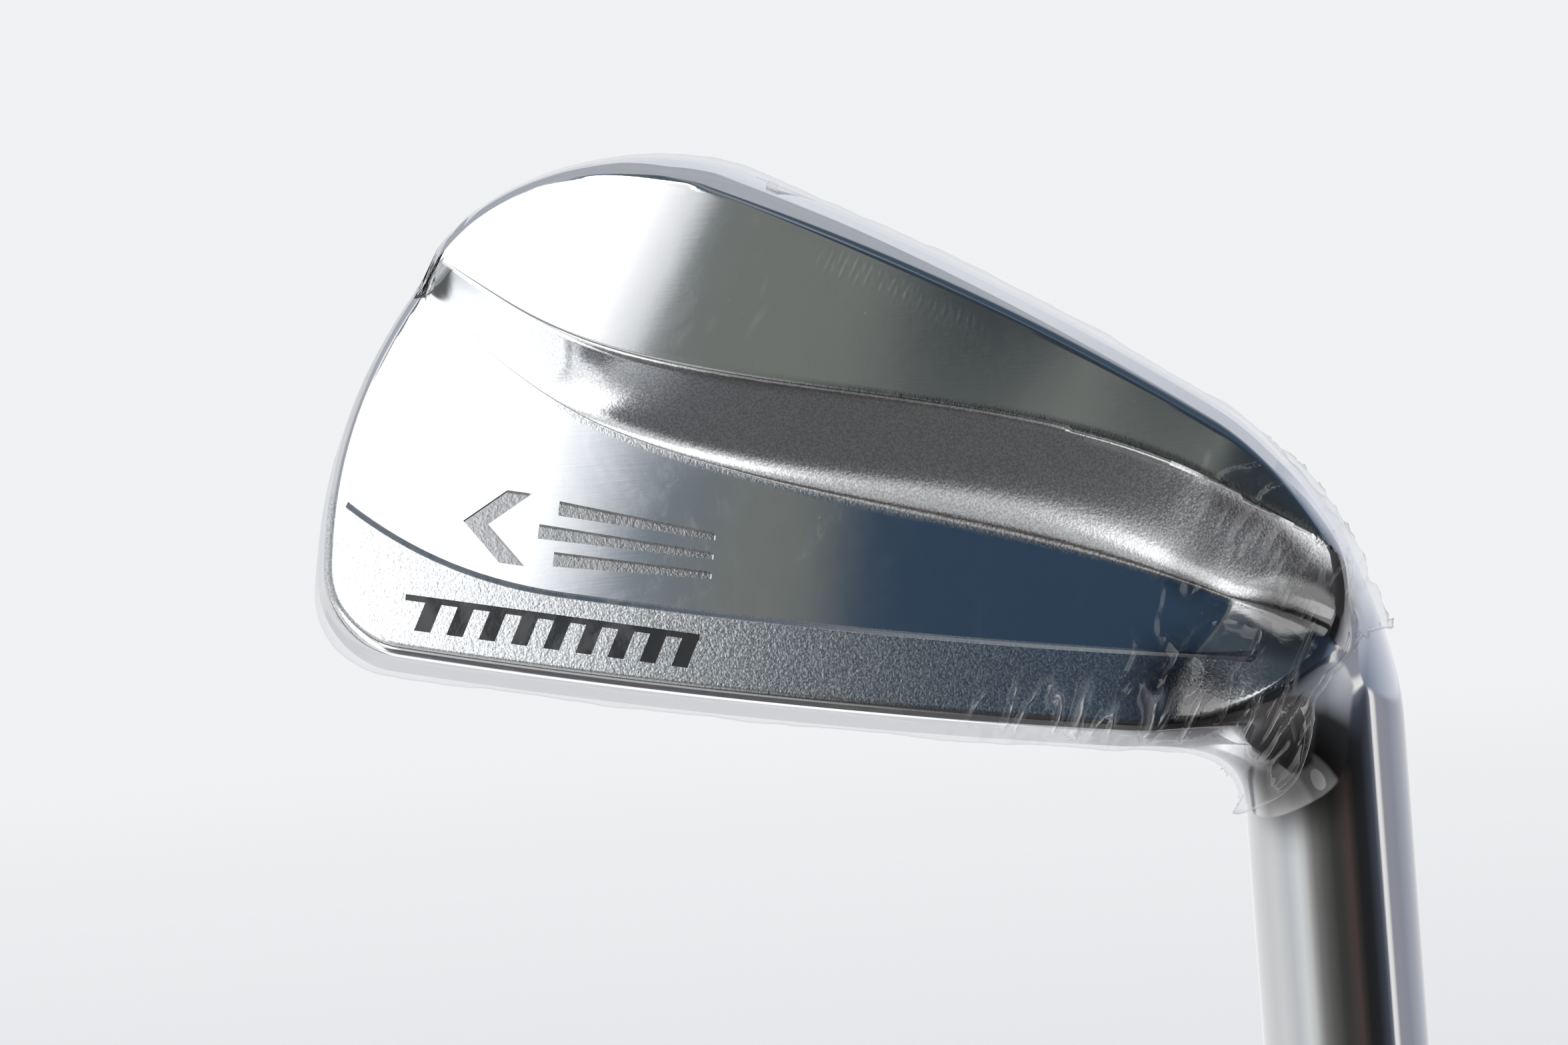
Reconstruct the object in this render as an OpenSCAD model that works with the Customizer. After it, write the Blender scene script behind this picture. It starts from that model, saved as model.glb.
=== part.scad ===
// Muscle-back blade iron, right-handed, still in its clear shipping film.
// Units: mm. +Z runs along the shaft from the grip's butt to the head, the head's back looks along -Y
// and its toe points along -X. The origin is the mouth of the vent hole in the grip's butt cap.

/* [Club] */
// Length along the shaft from the butt cap to the point where the shaft's line meets the ground
club_length = 972; // [900:1:1010]
// Angle between the shaft and the ground at address, degrees
lie = 60; // [58:0.5:64]
// Angle of the face back from upright at address, degrees
loft = 24; // [18:0.5:56]

/* [Hosel] */
// Outer radius of the hosel
hosel_radius = 6.7; // [6.3:0.05:7.2]
// Length from the ground point up the shaft's line to the end of the hosel
hosel_length = 62; // [54:1:70]
// Depth of the shaft's socket
socket_depth = 35; // [28:1:38]
// How far the leading edge sits behind the hosel's front
lead_setback = 2; // [0:0.1:5]

/* [Blade] */
// Furthest reach of the toe from the ground point
toe_reach = 69.4; // [64:0.1:74]
// Height up the face of the topline at the heel end of the scoring
topline_height = 32.4; // [28:0.1:36]
// Rise of the topline for each mm towards the toe
topline_rise = 0.432; // [0.35:0.001:0.5]
// Thickness of the blade at the topline
blade_thickness = 4.7; // [4:0.1:6]
// Gain in thickness for each mm from the topline down to the step
blade_taper = 0.06; // [0:0.01:0.1]
// Thickness at the crest of the muscle
crest_thickness = 11.8; // [9:0.1:13]
// Gain in thickness for each mm from the crest down towards the sole
muscle_taper = 0.17; // [0.1:0.01:0.3]
// Loss of thickness at the heel end of the muscle
heel_loss = 0.42; // [0:0.02:0.8]
// Height of the crest up the face at the heel end
crest_low = 11.6; // [9:0.1:14]
// How much higher the crest is at the toe end
crest_climb = 13.6; // [8:0.1:18]
// Height up the face where the step meets the blade, at the heel end
foot_low = 17.5; // [15:0.1:20]
// How much higher that line is at the toe end
foot_climb = 10.4; // [6:0.1:14]
// Radius of the sole from heel to toe
rocker_radius = 250; // [180:5:400]
// Radius of the sole from front to back
camber_radius = 28; // [20:1:60]

/* [Scoring and marks] */
// Number of score lines on the face
score_lines = 13; // [9:1:15]
// Distance from one score line to the next
score_pitch = 3.6; // [3:0.1:4]
// Width of one score line
score_width = 0.8; // [0.6:0.05:0.9]
// Depth of the marks and of the score lines
mark_depth = 0.35; // [0.2:0.05:0.5]

/* [Shaft] */
// Radius of the shaft under the grip
butt_radius = 7.62; // [7.3:0.01:7.9]
// Radius of the shaft in the hosel
tip_radius = 4.7; // [4.5:0.01:4.76]
// Distance from the butt to the first step
butt_section = 390; // [300:1:420]
// Distance from the butt to the last step
tip_start = 760; // [700:1:800]
// Number of steps
shaft_steps = 12; // [8:1:20]
// Wall at the butt
butt_wall = 0.35; // [0.3:0.05:0.6]
// Wall at the tip
tip_wall = 0.6; // [0.5:0.05:1]

/* [Grip] */
// Length of the grip with its cap
grip_length = 267; // [255:1:275]
// Radius of the butt cap
cap_radius = 14; // [12.5:0.1:15.5]
// Radius of the grip two inches below the cap
grip_radius = 11.45; // [10.8:0.05:12.8]
// Radius of the grip's mouth
mouth_radius = 8.9; // [8.5:0.05:9.5]
// Thickness of the butt cap
cap_thickness = 3.5; // [3:0.1:5]
// Radius of the vent hole
vent_radius = 1.6; // [1.2:0.1:2.5]

/* [Film] */
// Gap between the head and the shipping film
film_gap = 0.1; // [0.05:0.05:0.5]
// Thickness of the shipping film
film_thickness = 0.2; // [0.1:0.05:0.4]

/* [Hidden] */
$fn = 96;
fit = 0.02;
lead_back = lead_setback - hosel_radius; // leading edge, towards the back from the shaft's line
lead_up = 1;
socket_radius = tip_radius + 0.08;
hosel_end = club_length - hosel_length;
tip_clearance = 0.5; // from the shaft's tip to the bottom of its socket
shaft_tip = hosel_end + socket_depth - tip_clearance;
ferrule_length = 22;
weight_length = 16;
band_start = 335;
band_length = 38;
band_thickness = 0.1;
glue_gap = 0.01;
step_pitch = (tip_start - butt_section) / (shaft_steps - 1);
step_drop = (butt_radius - tip_radius) / shaft_steps;
tape_thickness = 0.22;

// ---- Curves that lay out the blade. u runs along the ground to the toe, w up the face.
topline_start = 5.5; // where along the ground topline_height holds
topline_bend = 0.0011;
toe_middle = 31.5; // height up the face of the toe's furthest point
toe_upper_bend = 72;
toe_lower_bend = 104;
droop_start = 50;
droop_bend = 0.006;
climb_start = 6; // the crest climbs from here, and the foot of the step from as far on the other side
crest_run = 56;
foot_run = 60;
step_hollow = 1.35; // power of the step's curve: 1 is a straight slope
crest_rounding = 0.5;
heel_zone = 18; // the muscle thins out from here towards the heel
function ease(x) = let (s = min(max(x, 0), 1)) s * s * (3 - 2 * s);
function topline(u) =
  topline_height + topline_rise * (u - topline_start) - topline_bend * pow(u - topline_start, 2);
function toe_edge(w) =
  toe_reach - pow(w - toe_middle, 2) / (w > toe_middle ? toe_upper_bend : toe_lower_bend);
function toe_droop(u) = droop_bend * pow(max(u - droop_start, 0), 2);
function crest(u) = crest_low + crest_climb * ease((u - climb_start) / crest_run) - toe_droop(u);
function foot(u) = foot_low + foot_climb * ease((u + climb_start) / foot_run) - 2 * toe_droop(u);

function blade_depth(u, w) = blade_thickness + blade_taper * (topline(u) - w);

// Thickness behind the face: the muscle below the crest, a hollow step above it, then the plain blade
function thickness(u, w) =
  let (
    high = crest(u),
    low = foot(u),
    climb = pow(max(low - w, 0) / (low - high), step_hollow),
    thinning = heel_loss * pow(max(heel_zone - u, 0) / heel_zone, 2)
  )
  round_min(
    crest_thickness + muscle_taper * (high - w) - thinning,
    blade_depth(u, max(w, low)) + (crest_thickness - blade_depth(u, low)) * climb,
    crest_rounding
  );

// ---- Rounded joins of two distances
function round_max(a, b, r) = min(-r, max(a, b)) + norm([max(r + a, 0), max(r + b, 0)]);
function round_min(a, b, r) = max(r, min(a, b)) - norm([max(r - a, 0), max(r - b, 0)]);

// ---- How far a point lies outside the head. A point is [towards the toe, up, towards the back].
// Rounding where two outsides meet
rim_rounding = 6;
heel_rounding = 6;
under_rounding = 13;
edge_rounding = 12;
stem_rounding = 13;
topline_rounding = 0.8;
face_rounding = 0.4;
neck_fillet = 3;
crotch_fillet = 8; // added to the neck fillet above the blade's heel
heel_reach = 5.8; // of the heel's upright side, past the shaft's line
rocker_middle = 31; // where along the ground the sole touches it
camber_middle = 3; // how far behind the shaft's line the sole touches the ground
function outside(p) =
  let (
    w = (p[2] - lead_back) * sin(loft) + (p[1] - lead_up) * cos(loft),
    t = (p[2] - lead_back) * cos(loft) - (p[1] - lead_up) * sin(loft),
    x = -cos(lie) * p[1] - sin(lie) * p[0],
    z = cos(lie) * p[0] - sin(lie) * p[1],
    camber = norm([p[2] - camber_middle, camber_radius]) - camber_radius,
    rocker = norm([p[0] - rocker_middle, rocker_radius]) - rocker_radius,
    sole = camber + rocker - p[1],
    rim = round_max(0.93 * (w - topline(p[0])), 0.98 * (p[0] - toe_edge(w)), rim_rounding),
    heel = round_max(x - heel_reach, 0.82 * x - 0.57 * (z + 17) - 2, heel_rounding),
    under = round_max(sole, heel, under_rounding),
    edge = round_max(rim, under, edge_rounding),
    softer = ease((under + 5) / 5), // 1 along the sole, where the edges are rounder
    back = 0.95 * (t - thickness(p[0], w)),
    rear_half = round_max(edge, back, topline_rounding + 0.7 * softer),
    blade = round_max(rear_half, -t, face_rounding + 1.4 * softer),
    stem = round_max(norm([x, p[2]]) - hosel_radius, sole, stem_rounding)
  )
  round_min(blade, stem, neck_fillet + crotch_fillet * ease((p[1] - 12) / 14));

// ---- Where a line from o along d comes to the given distance outside the head
function skin_point(o, d, gap) = o + d * bracket(o, d, 0, 0, outside(o) - gap, gap);
function bracket(o, d, from, to, value, gap) =
  value > 0 ? halve(o, d, from, to, 12, gap)
  : let (next = to + max(-0.8 * value, 0.15))
    bracket(o, d, to, next, outside(o + d * next) - gap, gap);
function halve(o, d, from, to, turns, gap) =
  let (middle = (from + to) / 2)
  turns == 0 ? middle
  : outside(o + d * middle) < gap ? halve(o, d, middle, to, turns - 1, gap)
  : halve(o, d, from, middle, turns - 1, gap);

// ---- The head's skin: rings of points round a spine, from the toe to the neck, then down the hosel
up_face = [0, cos(loft), sin(loft)];
through = [0, -sin(loft), cos(loft)];
spine_depth = 2.3; // of the spine behind the face
function on_spine(u, w) = [u, lead_up, lead_back] + w * up_face + spine_depth * through;

flat_rays = 5;
step_rays = 4;
muscle_rays = 5;
end_rays = 6;
side_rays = flat_rays + step_rays + muscle_rays;
rays = 2 * (side_rays + end_rays);
// Where each ray leaves the spine: 1 at its top end, 0 at its low end
function side_place(i, foot_at, crest_at) =
  i < flat_rays ? 1 + (foot_at - 1) * i / flat_rays
  : i < flat_rays + step_rays ? foot_at + (crest_at - foot_at) * (i - flat_rays) / step_rays
  : crest_at * (1 - (i - flat_rays - step_rays) / muscle_rays);
function ray_place(i, foot_at, crest_at) =
  i < side_rays ? side_place(i, foot_at, crest_at)
  : i < side_rays + end_rays ? 0
  : i < rays - end_rays ? side_place(2 * side_rays + end_rays - i, foot_at, crest_at)
  : 1;
// Direction of each ray round the spine: along a flat blade, or round a plain circle
function blade_angle(i) =
  i < side_rays ? 0
  : i < side_rays + end_rays ? 180 * (i - side_rays) / end_rays
  : i < rays - end_rays ? 180
  : 180 + 180 * (i - rays + end_rays) / end_rays;
function circle_angle(i) = 360 * (i - (side_rays - 1) / 2) / rays;
function ring(high_end, low_end, along, across, places, roundness, gap) = [
  for (i = [0:rays - 1])
    let (a = blade_angle(i) + (circle_angle(i) - blade_angle(i)) * roundness)
    skin_point(low_end + (high_end - low_end) * places[i], cos(a) * across - sin(a) * along, gap)
];

// Blade: flat cuts across the blade, closer together at the toe
neck = [-5.7, 34.8, 0];
toe_rings = 11;
blade_rings = 17;
fan_rings = 11;
film_fan_rings = 7;
toe_zone = 14;
function cut_place(k) =
  k <= toe_rings ? toe_reach - toe_zone * pow(k / toe_rings, 2)
  : toe_reach - toe_zone - (toe_reach - toe_zone - neck[0]) * (k - toe_rings) / blade_rings;
toe_cap = 55; // past here the spine draws in towards the toe's tip
function spine_span(u) =
  let (
    middle = u > toe_cap ? toe_middle : topline(u) - 5,
    start = on_spine(u, middle),
    high = norm(skin_point(start, up_face, 0) - start),
    low = norm(skin_point(start, -up_face, 0) - start),
    inset = 5.5 - 3.1 * max(u - toe_cap, 0) / (toe_reach - toe_cap)
  )
  [middle + high - min(2.4, high / 2), middle - low + min(inset, low / 2)];
function between(x, low, high) = min(max(x, low), high);
function blade_places(u, span) =
  let (
    size = span[0] - span[1],
    crest_at = between((crest(u) - span[1]) / size, 0.1, 0.5),
    foot_at = between((foot(u) - span[1]) / size, crest_at + 0.05, 0.75)
  )
  [for (i = [0:rays - 1]) ray_place(i, foot_at, crest_at)];
function blade_ring(u, gap) =
  let (span = spine_span(u))
  ring(on_spine(u, span[0]), on_spine(u, span[1]), up_face, through, blade_places(u, span), 0, gap);

// Neck: cuts that fan out round the corner between the topline and the hosel
neck_span = spine_span(neck[0]);
neck_places = blade_places(neck[0], neck_span);
neck_reach = cos(lie) * neck[1] + sin(lie) * neck[0];
function toward(part, spine_end) =
  [neck[1] - spine_end[1], spine_end[2]] * (1 - part) + [neck_reach, 0] * part;
function fan_ring(part, gap) =
  let (
    turn = 60 * part,
    tilt = loft * (1 - part),
    out = [-sin(turn), -cos(turn), 0],
    back = [0, 0, 1],
    high = toward(part, on_spine(neck[0], neck_span[0])),
    low = toward(part, on_spine(neck[0], neck_span[1]))
  )
  ring(
    neck + high[0] * out + high[1] * back,
    neck + low[0] * out + low[1] * back,
    sin(tilt) * back - cos(tilt) * out,
    cos(tilt) * back + sin(tilt) * out,
    neck_places,
    ease(part),
    gap
  );

function skin_rings(gap, fans) = concat(
  [for (k = [1:toe_rings + blade_rings]) blade_ring(cut_place(k), gap)],
  [for (k = [1:fans]) fan_ring(k / fan_rings, gap)]
);
neck_z = cos(lie) * neck[0] - sin(lie) * neck[1];
stem_overlap = 2.5;
function moved(points, by) = [for (p = points) p + by];
function sum(list, i = 0) = i < len(list) - 1 ? list[i] + sum(list, i + 1) : list[i];
function mean(points) = sum(points) / len(points);
function last(list) = list[len(list) - 1];
function joined(lists) = [for (list = lists) for (item = list) item];

// Triangles between ring after ring; outward is 1 for an outer skin, 0 for an inner one
function turned(f, outward) = outward == 1 ? f : [f[2], f[1], f[0]];
function band_faces(count, first, outward) = [
  for (k = [0:count - 2]) for (i = [0:rays - 1]) for (half = [0:1])
    let (j = (i + 1) % rays, a = first + k * rays, b = a + rays)
    turned(half == 0 ? [a + i, b + j, b + i] : [a + i, a + j, b + j], outward)
];
function end_faces(ring_start, centre, outward) = [
  for (i = [0:rays - 1]) turned([centre, ring_start + (i + 1) % rays, ring_start + i], outward)
];
module closed_skin(rings) {
  count = len(rings);
  points = concat(joined(rings), [mean(rings[0]), mean(last(rings))]);
  polyhedron(points, concat(
    band_faces(count, 0, 1),
    end_faces(0, count * rays, 1),
    end_faces((count - 1) * rays, count * rays + 1, 0)
  ));
}
// A thin sleeve, closed over the toe and open at the neck
module open_shell(outer, inner) {
  count = len(outer);
  half_way = count * rays + 1;
  points = concat(joined(outer), [mean(outer[0])], joined(inner), [mean(inner[0])]);
  rim = [for (i = [0:rays - 1]) for (half = [0:1])
    let (j = (i + 1) % rays, a = (count - 1) * rays, b = a + half_way)
    half == 0 ? [a + i, b + j, b + i] : [a + i, a + j, b + j]];
  polyhedron(points, concat(
    band_faces(count, 0, 1),
    end_faces(0, count * rays, 1),
    band_faces(count, half_way, 0),
    end_faces(half_way, half_way + count * rays, 0),
    rim
  ));
}

// ---- Placing
module at_address() {
  translate([0, 0, club_length])
    multmatrix([
      [-sin(lie), -cos(lie), 0, 0],
      [0, 0, -1, 0],
      [cos(lie), -sin(lie), 0, 0],
      [0, 0, 0, 1]
    ])
      children();
}
module on_face() {
  at_address() translate([0, lead_up, lead_back]) rotate([loft, 0, 0]) children();
}

// ---- Marks on the head
// Lies in the blade's back, w up the face, with x along the topline there
module on_back(u, w) {
  slope = atan(topline(u + 0.5) - topline(u - 0.5));
  on_face()
    translate([u, w, blade_depth(u, w)]) rotate([0, 0, slope]) rotate([-atan(blade_taper), 0, 0])
      children();
}
// A row of slanted bars on a thin line, in the satin band under the topline
row_bars = 9;
row_pitch = 2.55;
row_length = row_bars * row_pitch + 0.4;
bar_width = 1.3;
bar_length = 2.6;
bar_lean = 0.7;
line_width = 0.5;
row_middle = 47.5;
row_drop = 3.9; // of the row's middle below the topline
module slanted_bar(trim) {
  foot_end = bar_width - 2 * trim;
  top = bar_length - trim;
  polygon([[0, 0], [foot_end, 0], [foot_end + bar_lean, top], [bar_lean, top]]);
}
module row_of_bars(low, high, trim) {
  on_back(row_middle, topline(row_middle) - row_drop)
    translate([-row_length / 2, -bar_length / 2, low]) linear_extrude(height = high - low) {
      translate([trim, trim]) square([row_length - 2 * trim, line_width - 2 * trim]);
      for (i = [0:row_bars - 1]) translate([i * row_pitch + trim, line_width / 2]) slanted_bar(trim);
    }
}
// A chevron with three tapering bars behind it, in the polished blade
chevron_middle = [48, 36.6];
chevron_tip = 10; // from the mark's middle
module chevron_mark(low, high) {
  on_back(chevron_middle[0], chevron_middle[1])
    translate([chevron_tip, 0, low]) linear_extrude(height = high - low) {
      polygon([[0, 0], [-3.2, 3], [-5.2, 3], [-2, 0], [-5.2, -3], [-3.2, -3]]);
      for (i = [-1:1])
        polygon([
          [-6 - 1.4 * abs(i), 2.1 * i - 0.6], [-20, 1.6 * i - 0.3],
          [-20, 1.6 * i + 0.3], [-6 - 1.4 * abs(i), 2.1 * i + 0.6],
        ]);
    }
}
// A fine groove that parts the satin band from the polished blade
satin_band = 7; // from the topline down to the groove
groove_depth = 0.15;
function groove(u) = topline(u) - satin_band - 0.0145 * pow(max(u - 48, 0), 2);
groove_width = 0.5;
groove_start = -1;
groove_end = 65.5;
groove_cuts = 24;
module groove_line() {
  side = [for (i = [0:groove_cuts]) groove_start + (groove_end - groove_start) * i / groove_cuts];
  bottom = blade_depth(0, topline(0) - satin_band) - groove_depth;
  on_face() translate([0, 0, bottom]) linear_extrude(height = 2)
    polygon(concat(
      [for (u = side) [u, groove(u) - groove_width / 2]],
      [for (i = [groove_cuts:-1:0]) [side[i], groove(side[i]) + groove_width / 2]]
    ));
}
// The club's number, on the sole near the toe
number_place = [46, 0.55, 6.5];
number_turn = [-6, 0, 3.4]; // lies it on the sole's curve
module club_number(low, high, trim) {
  at_address() translate(number_place) rotate([0, 0, number_turn[2]]) rotate([number_turn[0], 0, 0])
    translate([0, -low, 0])
    rotate([90, 0, 0]) linear_extrude(height = high - low) {
      translate([-2.6 + trim, -0.9 + trim]) square([5 - 2 * trim, 0.8 - 2 * trim]);
      translate([0.6 + trim, -2.6 + trim]) square([0.8 - 2 * trim, 5.4 - 2 * trim]);
      polygon([
        [-2.6 + trim, -0.5], [-1.7 - trim, -0.5], [1.2 - trim, 2.8 - trim], [0.4 + trim, 2.8 - trim],
      ]);
    }
}

// ---- Sub-parts
score_start = 8;
score_low = 5; // height up the face of the lowest score line
score_length = 48;
module head() {
  color("silver") difference() {
    union() {
      rings = skin_rings(0, fan_rings);
      down_hosel = [-cos(lie), sin(lie), 0] * stem_overlap;
      at_address() closed_skin(concat(rings, [moved(last(rings), down_hosel)]));
      translate([0, 0, hosel_end])
        cylinder(r = hosel_radius + fit, h = club_length + neck_z - 1 - hosel_end);
    }
    translate([0, 0, hosel_end - 1]) cylinder(r = socket_radius, h = socket_depth + 1);
    for (i = [0:score_lines - 1])
      on_face()
        translate([score_start, score_low + score_pitch * i, -1])
          cube([score_length, score_width, 1 + mark_depth]);
    row_of_bars(-mark_depth, 2, 0);
    chevron_mark(-mark_depth, 2);
    groove_line();
    club_number(-mark_depth, 3, 0);
  }
}

module mark_fill() {
  color("black") row_of_bars(fit - mark_depth, -0.12, fit);
}

module number_fill() {
  color("black") club_number(fit - mark_depth, -0.15, fit);
}

module protective_film() {
  color("lightcyan") at_address()
    open_shell(
      skin_rings(film_gap + film_thickness, film_fan_rings),
      skin_rings(film_gap, film_fan_rings)
    );
}

module ferrule() {
  color("black") translate([0, 0, hosel_end - ferrule_length]) rotate_extrude()
    polygon([
      [tip_radius + fit, 0], [tip_radius + 0.45, 0], [tip_radius + 1.05, 0.3 * ferrule_length],
      [hosel_radius - 0.25, 0.75 * ferrule_length], [hosel_radius - 0.02, ferrule_length - 1.5],
      [hosel_radius - 0.02, ferrule_length - fit], [tip_radius + fit, ferrule_length - fit],
    ]);
}

// The glue line: a sleeve round the shaft's tip with a disc across the bottom of the socket
module epoxy() {
  color("khaki") translate([0, 0, hosel_end + fit]) difference() {
    cylinder(r = socket_radius - glue_gap, h = socket_depth - 2 * fit);
    translate([0, 0, -1]) cylinder(r = tip_radius + glue_gap, h = socket_depth + 1 - tip_clearance + fit);
  }
}

module tip_weight() {
  color("goldenrod") translate([0, 0, shaft_tip - tip_clearance - weight_length])
    cylinder(r = tip_radius - tip_wall - fit, h = weight_length);
}

// Steps from butt to tip; part 0 is the butt section
function step_end(part) =
  part == 0 ? butt_section : part == shaft_steps ? shaft_tip : butt_section + part * step_pitch;
function step_radius(part) = butt_radius - part * step_drop;
function step_wall(part) = butt_wall + (tip_wall - butt_wall) * part / shaft_steps;
step_blend = 0.8;
function shaft_side(thinner, lowest) = joined([
  for (part = [0:shaft_steps])
    let (r = step_radius(part) - thinner * step_wall(part))
    [[r, part == 0 ? lowest : step_end(part - 1) + step_blend], [r, step_end(part)]]
]);
module shaft() {
  outer = shaft_side(0, cap_thickness + fit);
  inner = shaft_side(1, cap_thickness + fit);
  color("lightgray") rotate_extrude() polygon(concat(outer, [for (i = [len(inner) - 1:-1:0]) inner[i]]));
}

module shaft_band() {
  color("white") translate([0, 0, band_start]) difference() {
    cylinder(r = butt_radius + band_thickness, h = band_length);
    translate([0, 0, -1]) cylinder(r = butt_radius + glue_gap, h = band_length + 2);
  }
}

module grip_tape() {
  color("wheat") translate([0, 0, cap_thickness + fit]) difference() {
    cylinder(r = butt_radius + tape_thickness, h = grip_length - cap_thickness - 4);
    translate([0, 0, -1]) cylinder(r = butt_radius + glue_gap, h = grip_length);
  }
}

module grip() {
  inside = butt_radius + tape_thickness + glue_gap;
  color("dimgray") rotate_extrude()
    polygon([
      [inside, cap_thickness + fit], [cap_radius - 0.1, cap_thickness + fit], [cap_radius - 0.2, 5],
      [cap_radius - 0.9, 9], [cap_radius - 1.6, 14], [grip_radius + 0.35, 30], [grip_radius, 50.8],
      [grip_radius - 1.3, 150], [mouth_radius + 0.2, grip_length - 6], [mouth_radius, grip_length - 5],
      [mouth_radius, grip_length - 0.4], [mouth_radius - 0.4, grip_length],
      [butt_radius + 0.02, grip_length], [butt_radius + 0.02, grip_length - 3], [inside, grip_length - 3.9],
    ]);
}

module grip_cap() {
  color("dimgray") rotate_extrude()
    polygon([
      [vent_radius, 0], [cap_radius - 2.2, 0], [cap_radius - 0.8, 0.5], [cap_radius - 0.15, 1.6],
      [cap_radius - 0.1, cap_thickness], [vent_radius, cap_thickness],
    ]);
}

head();
mark_fill();
number_fill();
protective_film();
ferrule();
epoxy();
tip_weight();
shaft();
shaft_band();
grip_tape();
grip();
grip_cap();
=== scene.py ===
"""Muscle-back blade iron in clear shipping film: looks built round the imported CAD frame."""
import math
import bpy
import numpy as np
from mathutils import Matrix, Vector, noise


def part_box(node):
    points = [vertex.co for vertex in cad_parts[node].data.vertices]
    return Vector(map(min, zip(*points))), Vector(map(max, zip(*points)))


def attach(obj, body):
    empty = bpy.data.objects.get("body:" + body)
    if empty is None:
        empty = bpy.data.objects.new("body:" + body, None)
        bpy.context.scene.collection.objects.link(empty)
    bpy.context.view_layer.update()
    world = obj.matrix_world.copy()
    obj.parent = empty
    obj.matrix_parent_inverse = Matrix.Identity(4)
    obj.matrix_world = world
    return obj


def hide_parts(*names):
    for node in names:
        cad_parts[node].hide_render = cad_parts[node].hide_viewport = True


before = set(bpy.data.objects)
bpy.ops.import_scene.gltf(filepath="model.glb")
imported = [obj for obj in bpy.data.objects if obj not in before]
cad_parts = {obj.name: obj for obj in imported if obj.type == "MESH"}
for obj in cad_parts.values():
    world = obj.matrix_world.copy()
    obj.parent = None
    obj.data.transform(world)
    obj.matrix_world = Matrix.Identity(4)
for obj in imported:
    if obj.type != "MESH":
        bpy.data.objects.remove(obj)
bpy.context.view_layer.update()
MM = 0.001

# ---------------------------------------------------------------- sizes in mm, as in the CAD source
LIE, LOFT = math.radians(60), math.radians(24)
HOSEL_RADIUS, HOSEL_LENGTH = 6.7, 62.0
SOCKET_RADIUS, SOCKET_DEPTH = 4.78, 35.0
LEAD_BACK, LEAD_UP = 2.0 - HOSEL_RADIUS, 1.0
TOE_REACH = 69.4
BLADE_THICKNESS, BLADE_TAPER = 4.7, 0.06
CREST_THICKNESS, MUSCLE_TAPER, HEEL_THINNING = 11.8, 0.17, 0.0013
MARK_DEPTH = 0.35
TAPE_ROOM = 0.23

# ---------------------------------------------------------------- sizes in mm of the finer pieces
NECK = np.array([-5.7, 34.8, 0.0])
SPINE_DEPTH = 2.3
TOE_ZONE = 14.0
MARK_OVERSHOOT = 2.0
FILM_THICKNESS, FILM_GAP, LEAST_GAP = 0.06, 0.1, 0.09
# Painted shade: soft dark spots on the metal round the neck: place in blade coordinates, radius, strength
PAINTED_SHADE_SPOTS = (
    ((-10.8, 27, 0.5), 5, 0.95),
    ((-0.6, 26.6, 5.1), 5, 0.88),
    ((-4.5, 20, 5.6), 5.5, 0.5),
    ((-5, 17.8, 6), 4, 0.88),
    ((-6.6, 14.7, 7.5), 4.6, 0.75),
    ((3.4, 17.1, 6), 2.4, 0.5),
)

# Address axes in the frame: toe-ward along the ground, up, and to the back
TOE = np.array([-math.sin(LIE), 0, math.cos(LIE)])
UP = np.array([-math.cos(LIE), 0, -math.sin(LIE)])
BACK = np.array([0, -1.0, 0])
ADDRESS = np.array([TOE, UP, BACK])
GRIP_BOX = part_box("grip")
SHAFT_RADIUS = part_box("shaft")[1][0] / MM
HOSEL_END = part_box("head")[0][2] / MM
GROUND = np.array([0, 0, HOSEL_END + HOSEL_LENGTH])
# Blade axes in address coordinates: up the face, and from the face through to the back
UP_FACE = np.array([0, math.cos(LOFT), math.sin(LOFT)])
THROUGH = np.array([0, -math.sin(LOFT), math.cos(LOFT)])
# The way from the neck to the hosel's axis, square to it, and how far it is
TO_HOSEL = np.array([-math.sin(LIE), -math.cos(LIE), 0])
HOSEL_REACH = math.cos(LIE) * NECK[1] + math.sin(LIE) * NECK[0]


def to_club(points):
    """Address coordinates (toe, up, back) in mm to the frame's metres."""
    return (np.asarray(points) @ ADDRESS + GROUND) * MM


def ease(x):
    """0 below 0, 1 above 1, and a smooth rise between."""
    s = np.clip(x, 0, 1)
    return s * s * (3 - 2 * s)


def round_max(a, b, r):
    """The larger of two distances, with the corner between them rounded by r."""
    return np.minimum(-r, np.maximum(a, b)) + np.hypot(np.maximum(r + a, 0), np.maximum(r + b, 0))


def round_min(a, b, r):
    """The smaller of two distances, with the corner between them filled by r."""
    return np.maximum(r, np.minimum(a, b)) - np.hypot(np.maximum(r - a, 0), np.maximum(r - b, 0))


def topline(u):
    return 32.4 + 0.432 * (u - 5.5) - 0.0011 * (u - 5.5) ** 2


def toe_edge(w):
    return TOE_REACH - (w - 31.5) ** 2 / np.where(w > 31.5, 72.0, 104.0)


def toe_droop(u):
    return 0.006 * np.maximum(u - 50, 0) ** 2


def crest(u):
    return 11.6 + 13.6 * ease((u - 6) / 56) - toe_droop(u)


def foot(u):
    return 17.5 + 10.4 * ease((u + 6) / 60) - 2 * toe_droop(u)


def groove(u):
    return topline(u) - 7 - 0.0145 * np.maximum(u - 48, 0) ** 2


def blade_depth(u, w):
    return BLADE_THICKNESS + BLADE_TAPER * (topline(u) - w)


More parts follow.
